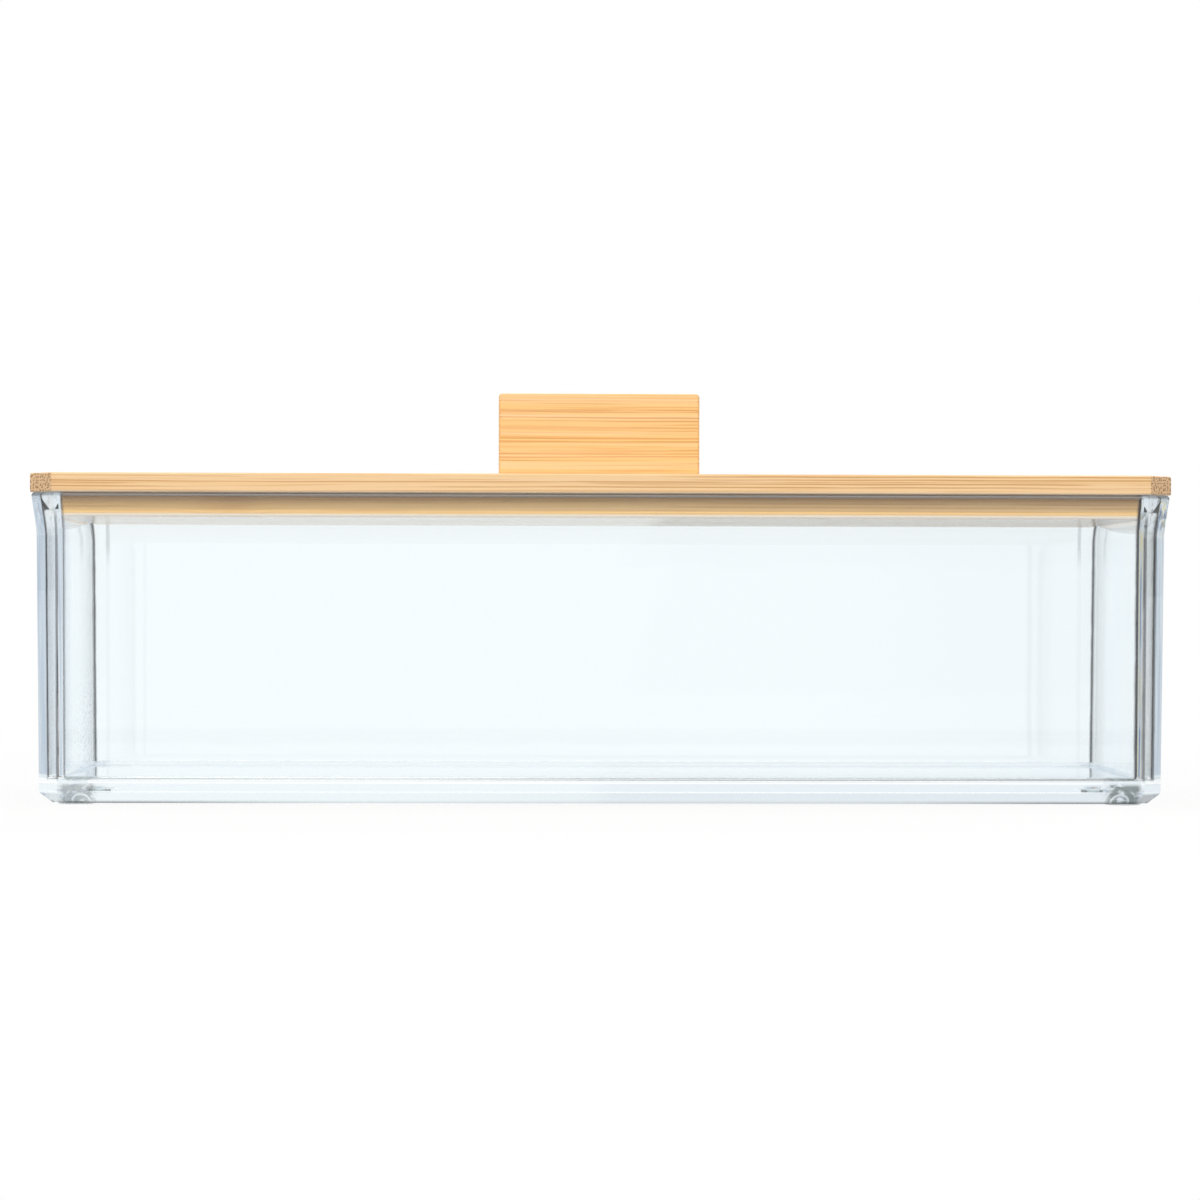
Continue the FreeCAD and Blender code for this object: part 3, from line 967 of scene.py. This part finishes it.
class BOXLID_OT_lid_boards(bpy.types.Operator):
    """Make the lid board and the locating board under it"""

    bl_idname = "boxlid.lid_boards"
    bl_label = "Lid boards"

    def execute(self, context):
        sizes = context.scene.boxlid_lid
        look = context.scene.boxlid_bamboo
        wood = bamboo(
            "bamboo_board", look, shift=(37.0, 3.1, 0.4), gold=0.36, joint=52.0, cut_from=0.42
        )
        self.board(sizes, wood)
        # painted shade: painted_shade and a high gold darken and brown the locating board under the
        # lid
        wood = bamboo(
            "bamboo_plug", look, shift=(-61.0, 44.3, 17.2), gold=0.84, joint=-171.0, cut_from=0.42,
            lower_edge=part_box("lid_plug")[0].z / MM, light=0.35, painted_shade=0.34,
        )
        self.plug(context, sizes, wood)
        return {"FINISHED"}

    def board(self, sizes, material):
        """The board over the mouth, drilled and countersunk for the handle's screws."""
        low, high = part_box("lid_board")
        spans = clipped_outline(high.x - low.x, high.y - low.y, sizes.corner_leg)
        skin = Skin()
        stations = profile(
            (-LEVEL_RUN, low.z, 0),
            (0, low.z, sizes.edge),
            (0, high.z, sizes.edge),
            (-LEVEL_RUN, high.z, 0),
        )
        under, top = skin.grid(swept_ring(spans, sizes.edge, stations))
        lower = [under]
        upper = [top]
        shank = sizes.screw_shank + sizes.hole_clearance
        head = sizes.screw_head + sizes.hole_clearance
        ease = 0.05 * MM
        for name in SCREWS:
            screw_low, screw_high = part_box(name)
            hole = profile(
                (shank + 2 * ease, high.z, 0),
                (shank, high.z, ease),
                (shank, screw_low.z + head - shank, ease),
                (head, screw_low.z, ease / 2),
                (head, low.z, ease / 2),
                (head + 2 * ease, low.z, 0),
            )
            mouth, sink = skin.grid(turned_ring((screw_low + screw_high).xy / 2, hole, HOLE_STEPS))
            upper.append(mouth)
            lower.append(sink)
        skin.cap(-1, *lower)
        skin.cap(1, *upper)
        skin.build("lid_top_board", material, "lid", "lid_board")

    def plug(self, context, sizes, material):
        """The locating board, which follows the mouth's outline a clearance inside it."""
        box = context.scene.boxlid_box
        low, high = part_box("lid_plug")
        inset = outline_inset(box, low.z) + box.wall + sizes.plug_clearance
        corner = 0.4 * MM
        stations = profile(
            (-inset - 2 * LEVEL_RUN, low.z, 0),
            (-inset, low.z, sizes.plug_lower),
            (-inset, high.z, sizes.plug_upper),
            (-inset - LEVEL_RUN, high.z, 0),
        )
        skin = Skin()
        under, top = skin.grid(swept_ring(rim_outline(box), corner, stations))
        skin.cap(-1, under)
        skin.cap(1, top)
        skin.build("lid_locating_board", material, "lid", "lid_plug")


class BOXLID_OT_handle(bpy.types.Operator):
    """Make the upright tab handle with its two pilot holes"""

    bl_idname = "boxlid.handle"
    bl_label = "Tab handle"

    def execute(self, context):
        sizes = context.scene.boxlid_lid
        low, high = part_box("lid_handle")
        spans = plain_outline(high.x - low.x, high.y - low.y)
        ease = 0.08 * MM
        tip_radius = 0.1 * MM
        stations = profile(
            (-LEVEL_RUN, low.z, 0),
            (0, low.z, ease),
            (0, high.z, sizes.handle_top),
            (-2 * sizes.handle_top, high.z, 0),
        )
        skin = Skin()
        under, top = skin.grid(swept_ring(spans, sizes.handle_side, stations))
        lower = [under]
        for name in SCREWS:
            screw_low, screw_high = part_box(name)
            hole = profile(
                (tip_radius, screw_high.z, 0),
                (sizes.screw_shank, screw_high.z - sizes.screw_tip, ease),
                (sizes.screw_shank, low.z, ease),
                (sizes.screw_shank + 2 * ease, low.z, 0),
            )
            tip, mouth = skin.grid(turned_ring((screw_low + screw_high).xy / 2, hole, HOLE_STEPS))
            skin.cap(-1, tip)
            lower.append(mouth)
        skin.cap(-1, *lower)
        skin.cap(1, top)
        look = context.scene.boxlid_bamboo
        material = bamboo(
            "bamboo_handle", look, shift=(12.0, -21.7, 6.3), gold=0.61, joint=140.0, cut_from=0.79
        )
        skin.build("tab_handle", material, "lid", "lid_handle")
        return {"FINISHED"}


class BOXLID_OT_screws(bpy.types.Operator):
    """Give the two hidden screws their steel"""

    bl_idname = "boxlid.screws"
    bl_label = "Screws"

    def execute(self, context):
        material = screw_steel()
        for name in SCREWS:
            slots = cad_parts[name].material_slots
            if not len(slots):
                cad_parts[name].data.materials.append(material)
            for slot in slots:
                slot.material = material
        return {"FINISHED"}


# ---- stage --------------------------------------------------------------------------------------


def floor_material(look):
    """Pale floor that shows white, but keeps a share of its shadow near the object.

    Mirrored rays see an unlit strip of it, from 250 to 360 mm in front of the box's middle.
    """
    material = bpy.data.materials.new("pale_floor")
    shader = Shader(material)
    x, y, z = shader.place()
    matt = shader.node("ShaderNodeBsdfDiffuse", None, {0: rgba((look.floor,) * 3)})
    dim = shader.node("ShaderNodeBsdfDiffuse", None, {0: rgba((look.bounce,) * 3)})
    matt = shader.blend(shader.light_path()["Is Diffuse Ray"], matt, dim)
    near = shader.far(x, y).fade(150.0, 420.0)
    share = seen_background(shader) * (1.0 - near * look.shadow)
    shown = shader.blend(share, matt, shader.glow(WHITE))
    strip = (-y).band(250.0, 280.0, 320.0, 360.0) * mirrored(shader)
    shader.finish(shader.blend(strip, shown, dim))
    return material


def seen_background(shader):
    """1 for a ray that shows the background: straight to the camera, by gloss or through glass."""
    path = shader.light_path()
    return shader.largest(path["Is Camera Ray"], path["Is Glossy Ray"], path["Is Transmission Ray"])


def mirrored(shader):
    """1 for a ray that a glossy surface has mirrored."""
    return shader.light_path()["Glossy Depth"].smooth(0.5, 1.5)


def light_world(scene, look):
    """Even soft light from all round, behind a white background.

    Mirrored rays see it darker far to the left and right, and in front also on the right of a
    slanted edge, where x + side y - lean z passes 0.
    """
    side, lean, blur = 0.0315, 0.295, 0.004
    world = bpy.data.worlds.new("studio")
    scene.world = world
    shader = Shader(world)
    x, y, z = shader.split(shader.coordinate("Generated"))
    aside = abs(x).smooth(0.35, 0.85)
    past = (x + side * y - lean * z).smooth(-blur, blur)
    past = past * shader.math("LESS_THAN", y, 0.0)
    white = 1.0 - mirrored(shader) * shader.largest(aside * look.dusk, past * look.gap)
    lit = look.sky + seen_background(shader) * (white - look.sky)
    shader.finish(
        shader.node("ShaderNodeBackground", None, {0: rgba(WHITE), 1: lit}),
        "ShaderNodeOutputWorld",
    )


def soft_lamp(name, place, target, size, power):
    """A square soft lamp at place, aimed at target."""
    data = bpy.data.lights.new(name, "AREA")
    data.shape = "RECTANGLE"
    data.size, data.size_y = size
    data.energy = power
    lamp = bpy.data.objects.new(name, data)
    aim = (Vector(target) - Vector(place)).to_track_quat("-Z", "Y")
    lamp.matrix_world = Matrix.Translation(place) @ aim.to_matrix().to_4x4()
    bpy.context.scene.collection.objects.link(lamp)


def place_camera(scene, look):
    """Camera in front of the box, level, turned and rolled a little."""
    data = bpy.data.cameras.new("camera")
    data.lens = look.lens
    data.sensor_width = 36.0
    data.shift_y = look.shift
    data.clip_start = 0.01
    data.clip_end = 50.0
    camera = bpy.data.objects.new("camera", data)
    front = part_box("lid_board")[0].y
    place = Matrix.Translation((-look.side, front - look.distance, look.height))
    turn = Matrix.Rotation(-look.turn, 4, "Z") @ Matrix.Rotation(math.pi / 2, 4, "X")
    camera.matrix_world = place @ turn @ Matrix.Rotation(look.roll, 4, "Z")
    scene.collection.objects.link(camera)
    scene.camera = camera


class BOXLID_OT_stage(bpy.types.Operator):
    """Set the pale floor, the lamps, the background and the camera"""

    bl_idname = "boxlid.stage"
    bl_label = "Stage"

    def execute(self, context):
        scene = context.scene
        look = scene.boxlid_studio
        mesh = bpy.data.meshes.new("floor")
        corners = [(-1, -1, 0), (1, -1, 0), (1, 1, 0), (-1, 1, 0)]
        corners = [Vector(corner) * FLOOR_REACH for corner in corners]
        mesh.from_pydata(corners, [], [(0, 1, 2, 3)])
        mesh.materials.append(floor_material(look))
        floor = bpy.data.objects.new("floor", mesh)
        scene.collection.objects.link(floor)
        light_world(scene, look)
        soft_lamp("lamp_front", (-0.12, -1.3, 0.85), (0, 0, 0.06), size=(1.8, 0.8), power=16.6)
        soft_lamp("lamp_over", (0.0, 0.1, 1.3), (0, 0, 0.05), size=(1.2, 0.9), power=6.0)
        soft_lamp("lamp_back", (0.4, 1.3, 0.8), (0, 0, 0.06), size=(1.6, 0.8), power=7.0)
        place_camera(scene, look)
        scene.cycles.max_bounces = 32
        scene.cycles.glossy_bounces = 16
        scene.cycles.transmission_bounces = 28
        scene.cycles.transparent_max_bounces = 24
        scene.view_settings.view_transform = "Standard"
        return {"FINISHED"}


class BOXLID_PT_panel(bpy.types.Panel):
    """Lists the pieces in the order they are made"""

    bl_idname = "BOXLID_PT_panel"
    bl_label = "Clear box with bamboo lid"
    bl_space_type = "VIEW_3D"
    bl_region_type = "UI"
    bl_category = "Clear Box"

    def draw(self, context):
        for operator in OPERATORS:
            self.layout.operator(operator.bl_idname)


GROUPS = {
    "boxlid_box": ClearBoxSizes,
    "boxlid_lid": LidSizes,
    "boxlid_bamboo": BambooLook,
    "boxlid_plastic": PlasticLook,
    "boxlid_studio": StudioLook,
}
OPERATORS = (
    BOXLID_OT_clear_box,
    BOXLID_OT_feet,
    BOXLID_OT_lid_boards,
    BOXLID_OT_handle,
    BOXLID_OT_screws,
    BOXLID_OT_stage,
)
CLASSES = (*GROUPS.values(), *OPERATORS, BOXLID_PT_panel)


def register():
    """Registers the classes and hangs each group of values on the scene."""
    for item in CLASSES:
        bpy.utils.register_class(item)
    for name, group in GROUPS.items():
        setattr(bpy.types.Scene, name, PointerProperty(type=group))


def unregister():
    """Takes the groups of values off the scene and unregisters the classes."""
    for name in GROUPS:
        delattr(bpy.types.Scene, name)
    for item in reversed(CLASSES):
        bpy.utils.unregister_class(item)


def main():
    """Registers the add-on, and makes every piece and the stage."""
    register()
    bpy.ops.boxlid.clear_box()
    bpy.ops.boxlid.feet()
    bpy.ops.boxlid.lid_boards()
    bpy.ops.boxlid.handle()
    bpy.ops.boxlid.screws()
    bpy.ops.boxlid.stage()


if __name__ == "__main__":
    main()
